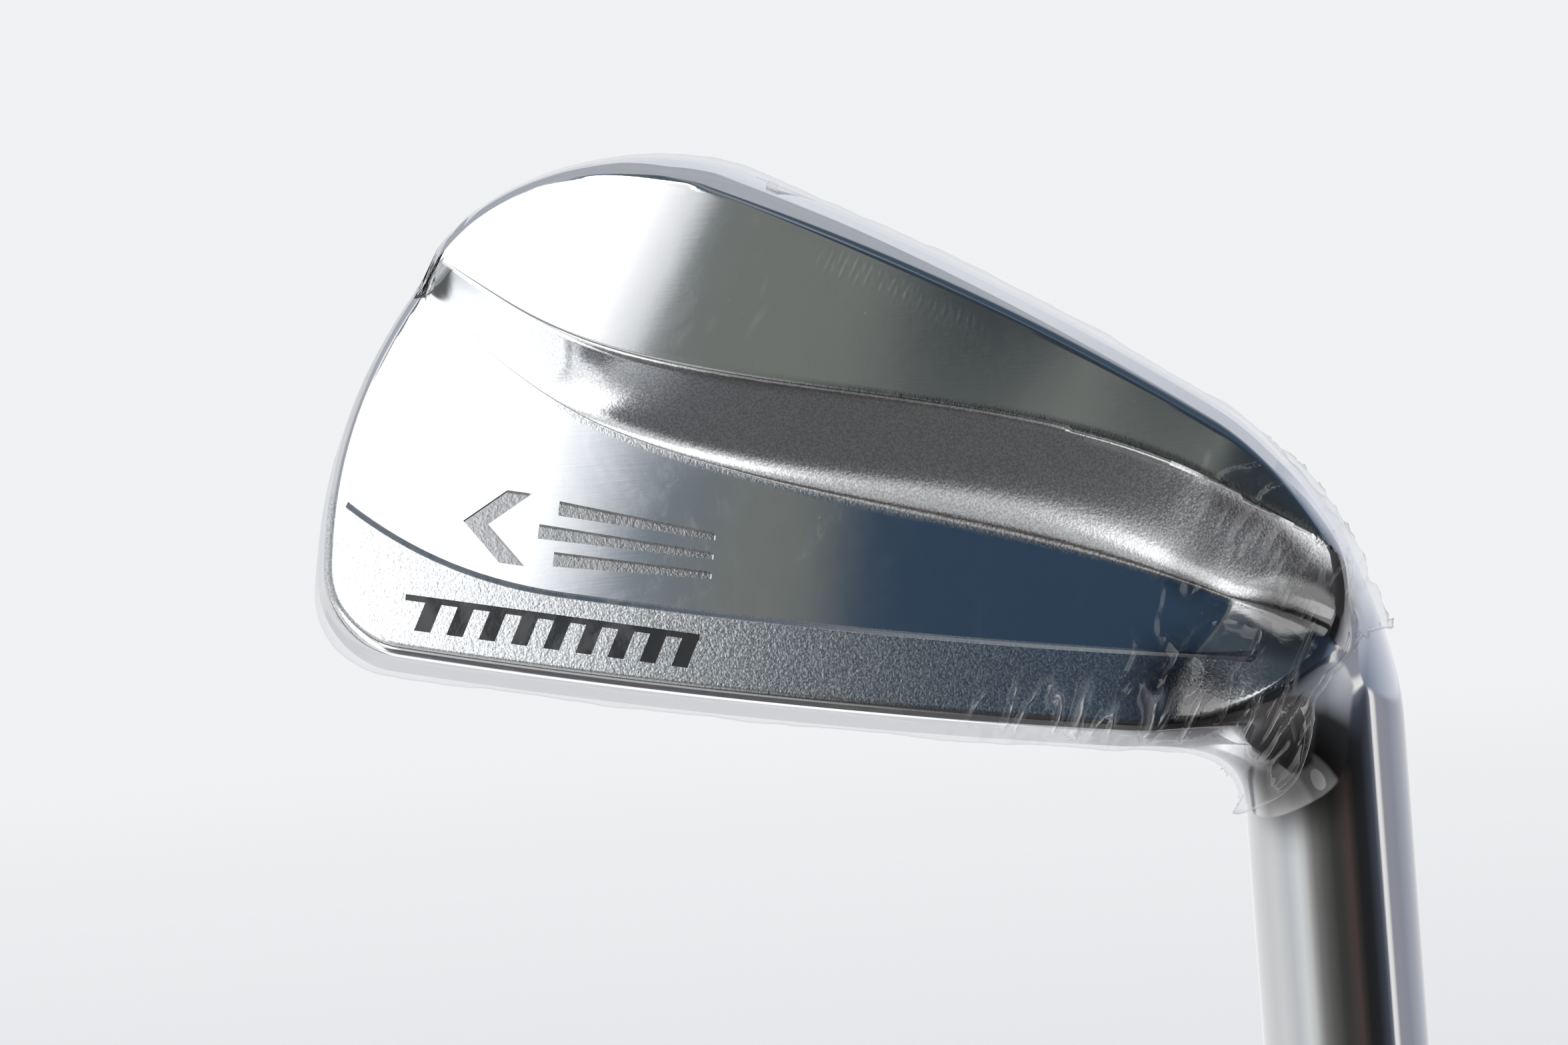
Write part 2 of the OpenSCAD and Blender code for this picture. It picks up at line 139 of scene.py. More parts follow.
def thickness(u, w):
    high, low = crest(u), foot(u)
    climb = (np.maximum(low - w, 0) / (low - high)) ** 1.35
    muscle = CREST_THICKNESS + MUSCLE_TAPER * (high - w) - HEEL_THINNING * np.maximum(18 - u, 0) ** 2
    step = blade_depth(u, np.maximum(w, low)) + (CREST_THICKNESS - blade_depth(u, low)) * climb
    return round_min(muscle, step, 0.5)


def blade_coordinates(p):
    """Along the ground, up the face and through to the back, for points in address coordinates."""
    back, up = p[..., 2] - LEAD_BACK, p[..., 1] - LEAD_UP
    w = back * math.sin(LOFT) + up * math.cos(LOFT)
    t = back * math.cos(LOFT) - up * math.sin(LOFT)
    return p[..., 0], w, t


def outside(p):
    """How far points lie outside the head; negative inside."""
    u, w, t = blade_coordinates(p)
    up, back = p[..., 1], p[..., 2]
    x = -math.cos(LIE) * up - math.sin(LIE) * u
    z = math.cos(LIE) * u - math.sin(LIE) * up
    camber = np.hypot(back - 3, 28.0) - 28.0
    rocker = np.hypot(u - 31, 250.0) - 250.0
    sole = camber + rocker - up
    rim = round_max(0.93 * (w - topline(u)), 0.98 * (u - toe_edge(w)), 6)
    heel = round_max(x - 5.8, 0.82 * x - 0.57 * (z + 17) - 2, 6)
    under = round_max(sole, heel, 13)
    edge = round_max(rim, under, 12)
    softer = ease((under + 5) / 5)
    blade = round_max(edge, 0.95 * (t - thickness(u, w)), 0.8 + 0.7 * softer)
    blade = round_max(blade, -t, 0.4 + 1.4 * softer)
    stem = round_max(np.hypot(x, back) - HOSEL_RADIUS, sole, 13)
    return round_min(blade, stem, 3 + 8 * ease((up - 12) / 14))


def reach(start, direction):
    """Distance from each start to the skin along its direction: walk out, then halve."""
    walks, halvings, caution, least_walk = 70, 20, 0.8, 0.15
    near = np.zeros(start.shape[:-1])
    far = near.copy()
    out = np.zeros(near.shape, bool)
    for _ in range(walks):
        value = outside(start + far[..., None] * direction)
        out |= value > 0
        near = np.where(out, near, far)
        far = np.where(out, far, far + np.maximum(-caution * value, least_walk))
    for _ in range(halvings):
        middle = (near + far) / 2
        inside = outside(start + middle[..., None] * direction) < 0
        near = np.where(inside, middle, near)
        far = np.where(inside, far, middle)
    return (near + far) / 2


def on_spine(u, w):
    """A point of the surface inside the blade from which the rays leave."""
    return np.array([u, LEAD_UP, LEAD_BACK]) + w * UP_FACE + SPINE_DEPTH * THROUGH


def spine_span(u):
    """How high and how low the spine reaches at u, so that the rays round its ends stay short."""
    middle = 31.5 if u > 55 else topline(u) - 5
    start = on_spine(u, middle)
    high = float(reach(start, UP_FACE))
    low = float(reach(start, -UP_FACE))
    inset = 5.5 - 3.1 * max(u - 55, 0) / (TOE_REACH - 55)
    return middle + high - min(2.4, high / 2), middle - low + min(inset, low / 2)


class Sweep:
    """Rings of rays from inside the head to its skin, from the toe's tip to the hosel."""

    def __init__(self, toe_cuts, blade_cuts, fan_cuts, flat_rays, step_rays, muscle_rays, end_rays):
        self.counts = flat_rays, step_rays, muscle_rays
        side = flat_rays + step_rays + muscle_rays
        turn = np.linspace(0, math.pi, end_rays, endpoint=False)
        self.end_rays = end_rays
        self.blade_angle = np.concatenate([np.zeros(side), turn, np.full(side, math.pi), math.pi + turn])
        rays = len(self.blade_angle)
        self.circle_angle = (np.arange(rays) - (side - 1) / 2) / rays * math.tau
        near = TOE_REACH - TOE_ZONE * (np.arange(1, toe_cuts + 1) / toe_cuts) ** 2
        rest = np.linspace(TOE_REACH - TOE_ZONE, NECK[0], blade_cuts + 1)[1:]
        self.starts, self.directions = [], []
        for u in np.concatenate([near, rest]):
            high, low = spine_span(u)
            places = self.places(u, high, low)
            self.add(on_spine(u, high), on_spine(u, low), places, UP_FACE, THROUGH, 0)
        self.fan(high, low, places, fan_cuts)
        self.starts = np.array(self.starts)
        self.directions = np.array(self.directions)
        self.distance = reach(self.starts, self.directions)

    def places(self, u, high, low):
        """Where the rays leave the spine: 1 at its top end, 0 at its low end, lined up on the step."""
        size = high - low
        crest_at = np.clip((crest(u) - low) / size, 0.1, 0.5)
        foot_at = np.clip((foot(u) - low) / size, crest_at + 0.05, 0.75)
        a, b, c = self.counts
        side = np.concatenate([
            np.linspace(1, foot_at, a, endpoint=False),
            np.linspace(foot_at, crest_at, b, endpoint=False),
            np.linspace(crest_at, 0, c, endpoint=False),
        ])
        back_again = np.append(side[1:], 0)[::-1]
        return np.concatenate([side, np.zeros(self.end_rays), back_again, np.ones(self.end_rays)])

    def add(self, high_end, low_end, places, along, across, roundness):
        """One ring of rays, fanned out round the blade (roundness 0) or round the hosel (1)."""
        a = (self.blade_angle + (self.circle_angle - self.blade_angle) * roundness)[:, None]
        self.starts.append(low_end + (high_end - low_end) * places[:, None])
        self.directions.append(np.cos(a) * across - np.sin(a) * along)

    def fan(self, high, low, places, cuts):
        """Cuts that turn round the corner between the topline and the hosel."""
        ends = [on_spine(NECK[0], w) for w in (high, low)]
        ends = [np.array([NECK[1] - e[1], e[2]]) for e in ends]
        back = np.array([0, 0, 1.0])
        for part in np.arange(1, cuts + 1) / cuts:
            turn = LIE * part
            tilt = LOFT * (1 - part)
            out = np.array([-math.sin(turn), -math.cos(turn), 0])
            a, b = [e * (1 - part) + np.array([HOSEL_REACH, 0]) * part for e in ends]
            high_end = NECK + a[0] * out + a[1] * back
            low_end = NECK + b[0] * out + b[1] * back
            along = math.sin(tilt) * back - math.cos(tilt) * out
            across = math.cos(tilt) * back + math.sin(tilt) * out
            self.add(high_end, low_end, places, along, across, ease(part))

    def skin(self):
        return self.starts + self.distance[..., None] * self.directions


def band(rows, columns, first=0, flip=False):
    """Quads between ring after ring."""
    k, i = np.meshgrid(np.arange(rows - 1), np.arange(columns), indexing="ij")
    a = first + k * columns + i
    b = first + k * columns + (i + 1) % columns
    quads = np.stack([a, b, b + columns, a + columns], -1).reshape(-1, 4)
    return (quads[:, ::-1] if flip else quads).tolist()


def fan_faces(ring, centre, flip=False):
    """Triangles that close a ring to its centre."""
    faces = [(centre, ring[i], ring[(i + 1) % len(ring)]) for i in range(len(ring))]
    return [f[::-1] for f in faces] if flip else faces


def new_piece(name, points, faces, node, finish):
    """A finer piece that rides on the club's one body and stands in for a CAD node."""
    mesh = bpy.data.meshes.new(name)
    mesh.from_pydata([tuple(p) for p in points], [], faces)
    mesh.update()
    piece = bpy.data.objects.new(name, mesh)
    bpy.context.scene.collection.objects.link(piece)
    mesh.materials.append(finish)
    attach(piece, "root")
    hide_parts(node)
    return piece


# ---------------------------------------------------------------- node helpers
class Nodes:
    """Short calls for building a node tree."""

    def __init__(self, tree):
        self.tree = tree

    def add(self, kind, **settings):
        node = self.tree.nodes.new(kind)
        for key, value in settings.items():
            setattr(node, key, value)
        return node

    def link(self, value, socket):
        if isinstance(value, bpy.types.NodeSocket):
            self.tree.links.new(value, socket)
        elif value is not None:
            socket.default_value = value

    def set_inputs(self, node, **values):
        for name, value in values.items():
            self.link(value, node.inputs[name])

    def math(self, operation, a, b=None):
        node = self.add("ShaderNodeMath", operation=operation)
        for socket, value in zip(node.inputs, (a, b)):
            self.link(value, socket)
        return node.outputs[0]

    def soft_step(self, value, low, high, out_low=0.0, out_high=1.0):
        node = self.add("ShaderNodeMapRange", interpolation_type="SMOOTHSTEP")
        for socket, number in zip(node.inputs, (value, low, high, out_low, out_high)):
            self.link(number, socket)
        return node.outputs[0]

    def mix(self, factor, a, b, blend="MIX"):
        """Mixes two colours; the node keeps them in its third pair of value sockets."""
        node = self.add("ShaderNodeMix", data_type="RGBA", blend_type=blend)
        self.link(factor, node.inputs["Factor"])
        self.link(a, node.inputs[6])
        self.link(b, node.inputs[7])
        return node.outputs[2]

    def ramp(self, value, stops, interpolation="LINEAR"):
        node = self.add("ShaderNodeValToRGB")
        node.color_ramp.interpolation = interpolation
        elements = node.color_ramp.elements
        while len(elements) < len(stops):
            elements.new(0.5)
        for element, (place, colour) in zip(elements, stops):
            element.position = place
            element.color = (*colour, 1)
        self.link(value, node.inputs[0])
        return node.outputs[0]

    def noise(self, where, scale, detail=2.0, roughness=0.5, distortion=0.0):
        node = self.add("ShaderNodeTexNoise")
        self.set_inputs(node, Vector=where, Scale=scale, Detail=detail)
        self.set_inputs(node, Roughness=roughness, Distortion=distortion)
        return node.outputs["Fac"]

    def stretched(self, where, scale):
        node = self.add("ShaderNodeVectorMath", operation="MULTIPLY")
        self.link(where, node.inputs[0])
        self.link(scale, node.inputs[1])
        return node.outputs[0]

    def bump(self, height, distance, strength=1.0, normal=None):
        node = self.add("ShaderNodeBump")
        self.set_inputs(node, Height=height, Distance=distance, Strength=strength, Normal=normal)
        return node.outputs[0]


def material(name):
    """A fresh material with its nodes, its principled shader and the object's own coordinates."""
    made = bpy.data.materials.new(name)
    made.use_nodes = True
    nodes = Nodes(made.node_tree)
    shader = made.node_tree.nodes["Principled BSDF"]
    where = nodes.add("ShaderNodeTexCoord").outputs["Object"]
    return made, nodes, shader, where


def attribute(nodes, name):
    node = nodes.add("ShaderNodeAttribute", attribute_name=name)
    return node.outputs["Fac"]


# ---------------------------------------------------------------- materials
def head_metal():
    """Polished chrome with blasted bands, etched marks and spots of painted shade, set by masks on the
    mesh.
    """
    made, n, shader, where = material("head_metal")
    satin = attribute(n, "satin")
    etched = attribute(n, "etched")
    grain = n.noise(where, 5600, 2, 0.6)
    coarse = n.noise(where, 2900, 1, 0.5)
    haze = n.noise(where, 90, 4, 0.6)
    streaks = n.noise(n.stretched(where, (220, 220, 4200)), 1, 3, 0.6)
    polished = n.math("ADD", 0.025, n.math("MULTIPLY", haze, 0.05))
    blasted = n.math("ADD", 0.07, n.math("MULTIPLY", grain, 0.09))
    matt = n.math("MAXIMUM", satin, etched)
    rough = n.math("ADD", polished, n.math("MULTIPLY", matt, n.math("SUBTRACT", blasted, polished)))
    n.link(rough, shader.inputs["Roughness"])
    bright = n.mix(n.soft_step(grain, 0.35, 0.65), (0.6, 0.605, 0.61, 1), (0.86, 0.865, 0.87, 1))
    colour = n.mix(satin, (0.8, 0.805, 0.815, 1), bright)
    colour = n.mix(etched, colour, (0.42, 0.42, 0.425, 1))
    # Painted shade: the shade mask darkens the base colour to near black round the neck
    colour = n.mix(attribute(n, "shade"), colour, (0.025, 0.022, 0.022, 1))
    n.link(colour, shader.inputs["Base Color"])
    shader.inputs["Metallic"].default_value = 1
    pitted = n.bump(n.math("ADD", grain, coarse), n.math("MULTIPLY", matt, 0.0000045), 0.9)
    n.link(n.bump(streaks, 0.0000005, 1.0, pitted), shader.inputs["Normal"])
    return made


def clear_film():
    """Thin clear film: see-through, with a gloss that grows at grazing angles."""
    made = bpy.data.materials.new("clear_film")
    made.use_nodes = True
    n = Nodes(made.node_tree)
    made.node_tree.nodes.clear()
    out = n.add("ShaderNodeOutputMaterial")
    where = n.add("ShaderNodeTexCoord").outputs["Object"]
    crinkle = n.noise(where, 900, 3, 0.6, 0.4)
    ripple = n.noise(where, 130, 2, 0.5, 0.6)
    normal = n.bump(ripple, 0.00025, 0.5, n.bump(crinkle, 0.00002, 0.5))
    facing = n.add("ShaderNodeLayerWeight")
    facing.inputs["Blend"].default_value = 0.5
    n.link(normal, facing.inputs["Normal"])
    grazing = n.math("POWER", facing.outputs["Facing"], 4)
    dust = n.soft_step(n.noise(where, 2300, 2, 0.6), 0.71, 0.76, 0, 0.16)
    front = n.math("SUBTRACT", 1, n.add("ShaderNodeNewGeometry").outputs["Backfacing"])
    outer = n.math("MULTIPLY", front, attribute(n, "outer_skin"))
    stress = n.math("MULTIPLY", attribute(n, "stress"), 0.3)
    haze = n.math("ADD", dust, stress)
    amount = n.math("ADD", n.math("MULTIPLY", grazing, 0.8), n.math("ADD", 0.035, haze))
    gloss = n.add("ShaderNodeBsdfGlossy")
    n.link(n.math("ADD", 0.06, haze), gloss.inputs["Roughness"])
    n.link(normal, gloss.inputs["Normal"])
    clear = n.add("ShaderNodeBsdfTransparent")
    clear.inputs["Color"].default_value = (0.985, 0.987, 0.99, 1)
    mix = n.add("ShaderNodeMixShader")
    n.link(n.math("MULTIPLY", amount, outer), mix.inputs[0])
    n.link(clear.outputs[0], mix.inputs[1])
    n.link(gloss.outputs[0], mix.inputs[2])
    n.link(mix.outputs[0], out.inputs["Surface"])
    return made


def shaft_chrome():
    """Plated steel with fine lines along the shaft and a faint haze."""
    made, n, shader, where = material("shaft_chrome")
    streaks = n.noise(n.stretched(where, (3000, 3000, 60)), 1, 2, 0.6)
    haze = n.noise(where, 60, 4, 0.6)
    shader.inputs["Metallic"].default_value = 1
    n.link(n.mix(haze, (0.7, 0.705, 0.72, 1), (0.8, 0.805, 0.81, 1)), shader.inputs["Base Color"])
    n.link(n.math("ADD", 0.07, n.math("MULTIPLY", haze, 0.1)), shader.inputs["Roughness"])
    n.link(n.bump(streaks, 0.000001, 1.0), shader.inputs["Normal"])
    return made


def paint(name, colour, roughness, grain_scale):
    """A plain coloured surface with a fine grain."""
    made, n, shader, where = material(name)
    grain = n.noise(where, grain_scale, 3, 0.6)
    darker = tuple(c * 0.7 for c in colour)
    n.link(n.mix(grain, (*darker, 1), (*colour, 1)), shader.inputs["Base Color"])
    n.link(n.math("ADD", roughness, n.math("MULTIPLY", grain, 0.15)), shader.inputs["Roughness"])
    n.link(n.bump(grain, 0.00002, 0.5), shader.inputs["Normal"])
    return made


def grip_rubber():
    """Dark matt rubber with a fine grain and a little dust."""
    made, n, shader, where = material("grip_rubber")
    grain = n.noise(where, 2600, 3, 0.65)
    dust = n.noise(where, 45, 4, 0.6)
    tone = n.mix(dust, (0.018, 0.018, 0.019, 1), (0.036, 0.036, 0.037, 1))
    n.link(tone, shader.inputs["Base Color"])
    n.link(n.math("ADD", 0.55, n.math("MULTIPLY", grain, 0.3)), shader.inputs["Roughness"])
    n.link(n.bump(grain, 0.00006, 0.6), shader.inputs["Normal"])
    return made


def band_label():
    """A printed label with plain stripes and no lettering."""
    made, n, shader, where = material("band_label")
    parts = n.add("ShaderNodeSeparateXYZ")
    n.link(where, parts.inputs[0])
    low, high = (corner[2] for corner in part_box("shaft_band"))
    along = n.math("SUBTRACT", parts.outputs[2], low)
    navy, silver, red = (0.02, 0.035, 0.1), (0.6, 0.61, 0.63), (0.35, 0.02, 0.025)
    stripes = [(0.0, silver), (0.05, navy), (0.3, silver), (0.34, navy)]
    stripes += [(0.62, red), (0.72, navy), (0.95, silver)]
    print_colour = n.ramp(n.math("DIVIDE", along, high - low), stripes, "CONSTANT")
    wear = n.noise(where, 500, 4, 0.6)
    worn = n.mix(n.math("MULTIPLY", wear, 0.25), print_colour, (0.3, 0.3, 0.32, 1))
    n.link(worn, shader.inputs["Base Color"])
    n.link(n.math("ADD", 0.2, n.math("MULTIPLY", wear, 0.2)), shader.inputs["Roughness"])
    return made


def turned_brass():
    """Brass with the fine rings a lathe leaves."""
    made, n, shader, where = material("turned_brass")
    rings = n.noise(n.stretched(where, (40, 40, 9000)), 1, 1, 0.5)
    shader.inputs["Metallic"].default_value = 1
    n.link(n.mix(rings, (0.6, 0.42, 0.16, 1), (0.75, 0.56, 0.26, 1)), shader.inputs["Base Color"])
    n.link(n.math("ADD", 0.25, n.math("MULTIPLY", rings, 0.2)), shader.inputs["Roughness"])
    return made


# ---------------------------------------------------------------- head
def rotation(axis, degrees):
    return np.array(Matrix.Rotation(math.radians(degrees), 4, axis))


def shift(x, y, z):
    return np.array(Matrix.Translation((x, y, z)))


# Where blade coordinates and the sole's number sit in address coordinates
FACE_PLACE = np.eye(4)
FACE_PLACE[:3, 1], FACE_PLACE[:3, 2], FACE_PLACE[:3, 3] = UP_FACE, THROUGH, (0, LEAD_UP, LEAD_BACK)
NUMBER_PLACE = shift(46, 0.55, 6.5) @ rotation("Z", 3.4) @ rotation("X", -6) @ rotation("X", 90)


def back_place(u, w):
    """A place on the blade's back, turned along the topline."""
    slope = math.degrees(math.atan(topline(u + 0.5) - topline(u - 0.5)))
    tilt = math.degrees(math.atan(BLADE_TAPER))
    return FACE_PLACE @ shift(u, w, blade_depth(u, w)) @ rotation("Z", slope) @ rotation("X", -tilt)


def placed(points, place):
    return (np.c_[points, np.ones(len(points))] @ place.T)[:, :3]


def prism(outline, low, high, place):
    """Points and faces of an outline (anticlockwise) stretched from low to high."""
    size = len(outline)
    points = [(x, y, low) for x, y in outline] + [(x, y, high) for x, y in outline]
    faces = [tuple(range(size))[::-1], tuple(range(size, 2 * size))]
    faces += [(i, (i + 1) % size, (i + 1) % size + size, i + size) for i in range(size)]
    return placed(points, place), faces


def rectangle(x, y, width, height):
    return [(x, y), (x + width, y), (x + width, y + height), (x, y + height)]


def score_cutters():
    """The face's score lines."""
    lines, pitch, first, start, length, width = 13, 3.6, 5, 8, 48, 0.8
    outlines = [rectangle(start, first + pitch * i, length, width) for i in range(lines)]
    return [prism(outline, -1, MARK_DEPTH, FACE_PLACE) for outline in outlines]


def row_cutters():
    """A row of slanted bars standing on a thin line."""
    bars, pitch, width, length, lean, line = 9, 2.55, 1.3, 2.6, 0.7, 0.5
    middle, below_topline = 47.5, 3.9
    row = bars * pitch + 0.4
    place = back_place(middle, topline(middle) - below_topline) @ shift(-row / 2, -length / 2, 0)
    made = [prism(rectangle(0, 0, row, line), -MARK_DEPTH, MARK_OVERSHOOT, place)]
    for i in range(bars):
        x, y = i * pitch, line / 2
        outline = [(x, y), (x + width, y), (x + width + lean, y + length), (x + lean, y + length)]
        made.append(prism(outline, -MARK_DEPTH, MARK_OVERSHOOT, place))
    return made


def chevron_cutters():
    """A chevron followed by three bars that taper towards the heel."""
    place = back_place(48, 36.6) @ shift(10, 0, 0)
    tip, corner, width, half_height, bar_end = 0, -3.2, 2, 3, -20
    chevron = [(tip, 0), (corner, half_height), (corner - width, half_height), (tip - width, 0)]
    chevron += [(corner - width, -half_height), (corner, -half_height)]
    made = [prism(chevron, -MARK_DEPTH, MARK_OVERSHOOT, place)]
    for i in (-1, 0, 1):
        near = -6 - 1.4 * abs(i)
        outline = [(near, 2.1 * i - 0.6), (near, 2.1 * i + 0.6)]
        outline += [(bar_end, 1.6 * i + 0.3), (bar_end, 1.6 * i - 0.3)]
        made.append(prism(outline, -MARK_DEPTH, MARK_OVERSHOOT, place))
    return made


def number_cutters():
    """The strokes of a 4."""
    strokes = [
        rectangle(-2.6, -0.9, 5, 0.8),
        rectangle(0.6, -2.6, 0.8, 5.4),
        [(-2.6, -0.5), (-1.7, -0.5), (1.2, 2.8), (0.4, 2.8)],
    ]
    return [prism(outline, -MARK_DEPTH, 3, NUMBER_PLACE) for outline in strokes]


def groove_cutter():
    """A fine groove that keeps its depth along the blade."""
    floor_half, top_half, depth, overshoot, cuts = 0.144, 0.96, 0.16, 1.2, 60
    heel_end, toe_end = -4, 66.2
    points, faces = [], []
    for u in np.linspace(heel_end, toe_end, cuts):
        w = groove(u)
        t = blade_depth(u, w) - depth
        points += [(u, w - top_half, t + overshoot), (u, w - floor_half, t)]
        points += [(u, w + floor_half, t), (u, w + top_half, t + overshoot)]
    for k in range(cuts - 1):
        for i in range(4):
            j = (i + 1) % 4
            faces.append((4 * k + i, 4 * k + j, 4 * k + 4 + j, 4 * k + 4 + i))
    faces += [(3, 2, 1, 0), tuple(4 * (cuts - 1) + i for i in range(4))]
    return [(placed(points, FACE_PLACE), faces)]


def gradient(points):
    """Outward unit normals of the head's field."""
    step = 1e-3
    slopes = [outside(points + step * axis) - outside(points - step * axis) for axis in np.eye(3)]
    slopes = np.stack(slopes, -1)
    return slopes / np.maximum(np.linalg.norm(slopes, axis=-1, keepdims=True), 1e-12)


def head_shell(sweep):
    """The head's outer skin, carried down the hosel and back up its socket, as one closed mesh."""
    rings = list(sweep.skin())
    down = np.array([-math.cos(LIE), math.sin(LIE), 0])
    centre = NECK + HOSEL_REACH * TO_HOSEL
    turn = sweep.circle_angle[:, None]
    round_ring = np.cos(turn) * np.array([0, 0, 1.0]) + np.sin(turn) * TO_HOSEL
    stem = HOSEL_LENGTH + (math.cos(LIE) * NECK[0] - math.sin(LIE) * NECK[1])
    profile = [(off, HOSEL_RADIUS) for off in np.linspace(1.2, stem - 0.35, 24)]
    profile += [(stem - 0.1, HOSEL_RADIUS - 0.1), (stem, HOSEL_RADIUS - 0.35)]
    profile += [(stem, SOCKET_RADIUS + 0.3), (stem - 0.3, SOCKET_RADIUS)]
    profile += [(stem - SOCKET_DEPTH, SOCKET_RADIUS)]
    rings += [centre + down * off + round_ring * radius for off, radius in profile]
    count, rays = len(rings), len(sweep.circle_angle)
    points = np.concatenate([*rings, [rings[0].mean(0)], [rings[-1].mean(0)]])
    faces = band(count, rays, flip=True)
    faces += fan_faces(range(rays), count * rays)
    faces += fan_faces(range((count - 1) * rays, count * rays), count * rays + 1, flip=True)
    return points, faces


def carve(piece, cutters):
    """Cuts prisms out of a piece's mesh and keeps the result."""
    points, faces = [], []
    for some_points, some_faces in cutters:
        faces += [tuple(i + len(points) for i in f) for f in some_faces]
        points += list(some_points)
    mesh = bpy.data.meshes.new("cutter")
    mesh.from_pydata([tuple(p) for p in to_club(points)], [], faces)
    tool = bpy.data.objects.new("cutter", mesh)
    bpy.context.scene.collection.objects.link(tool)
    cut = piece.modifiers.new("cut", "BOOLEAN")
    cut.operation = "DIFFERENCE"
    cut.solver = "EXACT"
    cut.use_self = True
    cut.object = tool
    seen = piece.evaluated_get(bpy.context.evaluated_depsgraph_get())
    carved = bpy.data.meshes.new_from_object(seen)
    piece.modifiers.clear()
    old = piece.data
    piece.data = carved
    bpy.data.meshes.remove(old)
    bpy.data.objects.remove(tool)
    bpy.data.meshes.remove(mesh)


def read(collection, name, width, kind=float):
    """One property of a mesh's vertices, faces or corners as an array."""
    flat = np.empty(len(collection) * width, kind)
    collection.foreach_get(name, flat)
    return flat.reshape(-1, width) if width > 1 else flat


def set_attribute(mesh, name, values, domain="POINT"):
    mesh.attributes.new(name, "FLOAT", domain).data.foreach_set("value", values)


def satin_mask(u, w, t):
    """1 on the blasted step and on the strip between groove and topline, 0 on polished metal."""
    step = ease((w - crest(u) + 0.7) / 0.5) * (1 - ease((w - foot(u)) / 0.4))
    strip = ease((w - groove(u)) / 0.25) * (1 - ease((w - topline(u) + 0.9) / 0.5))
    heel_fade = ease((u + 7) / 3)
    toe_polish = 1 - ease((u - 51) / 12)
    return np.where(t > 3.5, np.maximum(step * toe_polish, strip) * heel_fade, 0)


def painted_shade_mask(u, w, t):
    """Up to 1 where shade is painted into the metal: the listed spots, the crest and the step's heel end.
    """
    shade = np.zeros(len(u))
    for place, size, depth in PAINTED_SHADE_SPOTS:
        away = np.linalg.norm(np.stack([u, w, t], -1) - place, axis=-1)
        shade = np.maximum(shade, depth * np.exp(-((away / size) ** 4)))
    # Painted shade along the crest and over the step's heel end
    above_crest = w - crest(u)
    crest_line = 0.75 * np.exp(-(((above_crest + 0.15) / 0.35) ** 2))
    crest_line *= (1 - ease((u - 42) / 8)) * ease(u / 3)
    heel_line = 0.8 * np.exp(-(((above_crest - 0.8 - 0.25 * np.maximum(-u, 0)) / 1.1) ** 2))
    heel_line *= (1 - ease((u - 4) / 6)) * ease((u + 7) / 3)
    return np.maximum(shade, np.maximum(crest_line, heel_line) * (t > 5))


def finish_head(piece):
    """Exact skin normals, flat walls in the cuts, and the masks that the metal reads."""
    mesh = piece.data
    points = (read(mesh.vertices, "co", 3) / MM - GROUND) @ ADDRESS.T
    centres = (read(mesh.polygons, "center", 3) / MM - GROUND) @ ADDRESS.T
    face_normals = read(mesh.polygons, "normal", 3) @ ADDRESS.T
    facing_out = (gradient(centres) * face_normals).sum(-1) > 0.8
    depth = -outside(centres)
    on_skin = (np.abs(depth) < 0.05) & facing_out
    totals = read(mesh.polygons, "loop_total", 1, np.int32)
    corner_point = read(mesh.loops, "vertex_index", 1, np.int32)
    corner_face = np.repeat(np.arange(len(mesh.polygons)), totals)
    smooth = gradient(points)[corner_point]
    normals = np.where(on_skin[corner_face][:, None], smooth, face_normals[corner_face])
    mesh.polygons.foreach_set("use_smooth", np.ones(len(mesh.polygons), bool))
    mesh.normals_split_custom_set((normals @ ADDRESS).tolist())
    place = blade_coordinates(points)
    set_attribute(mesh, "satin", satin_mask(*place))
    # The mask of painted shade, which the metal reads as a darker colour
    set_attribute(mesh, "shade", painted_shade_mask(*place))
    etched = (depth > 0.25) & facing_out
    set_attribute(mesh, "etched", etched.astype(float), "FACE")
    mesh.update()


def make_head():
    """The forged head with its score lines, marks, number and groove cut in."""
    toe_cuts, blade_cuts, fan_cuts = 40, 150, 60
    sweep = Sweep(toe_cuts, blade_cuts, fan_cuts, flat_rays=34, step_rays=24, muscle_rays=28, end_rays=24)
    points, faces = head_shell(sweep)
    piece = new_piece("forged_head", to_club(points), faces, "head", head_metal())
    cutters = score_cutters() + row_cutters() + chevron_cutters() + number_cutters() + groove_cutter()
    carve(piece, cutters)
    finish_head(piece)


# ---------------------------------------------------------------- shipping film
def waves(points, scale):
    """A smooth noise at each point."""
    values = np.array([noise.noise(p) for p in (points * scale).reshape(-1, 3)])
    return values.reshape(points.shape[:-1])


def ridges(points, scale, width):
    """Thin raised lines where a smooth noise crosses zero."""
    return np.clip(1 - np.abs(waves(points, scale)) / width, 0, 1) ** 2


def foot_of_sole(u):
    """Where the trailing edge runs, up the face from the ground."""
    return 6.4 + 0.0045 * (u - 28) ** 2


def torn(values, ends, fan_start):
    """Values on the sweep's rings, with the fan's rings drawn back to a slanted mouth."""
    rows = np.arange(len(values))[:, None] + 0.0
    place = np.where(rows > fan_start, fan_start + (rows - fan_start) * ends, rows)
    low = np.minimum(place.astype(int), len(values) - 2)
    part = (place - low)[..., None]
    columns = np.arange(values.shape[1])
    return values[low, columns] * (1 - part) + values[low + 1, columns] * part


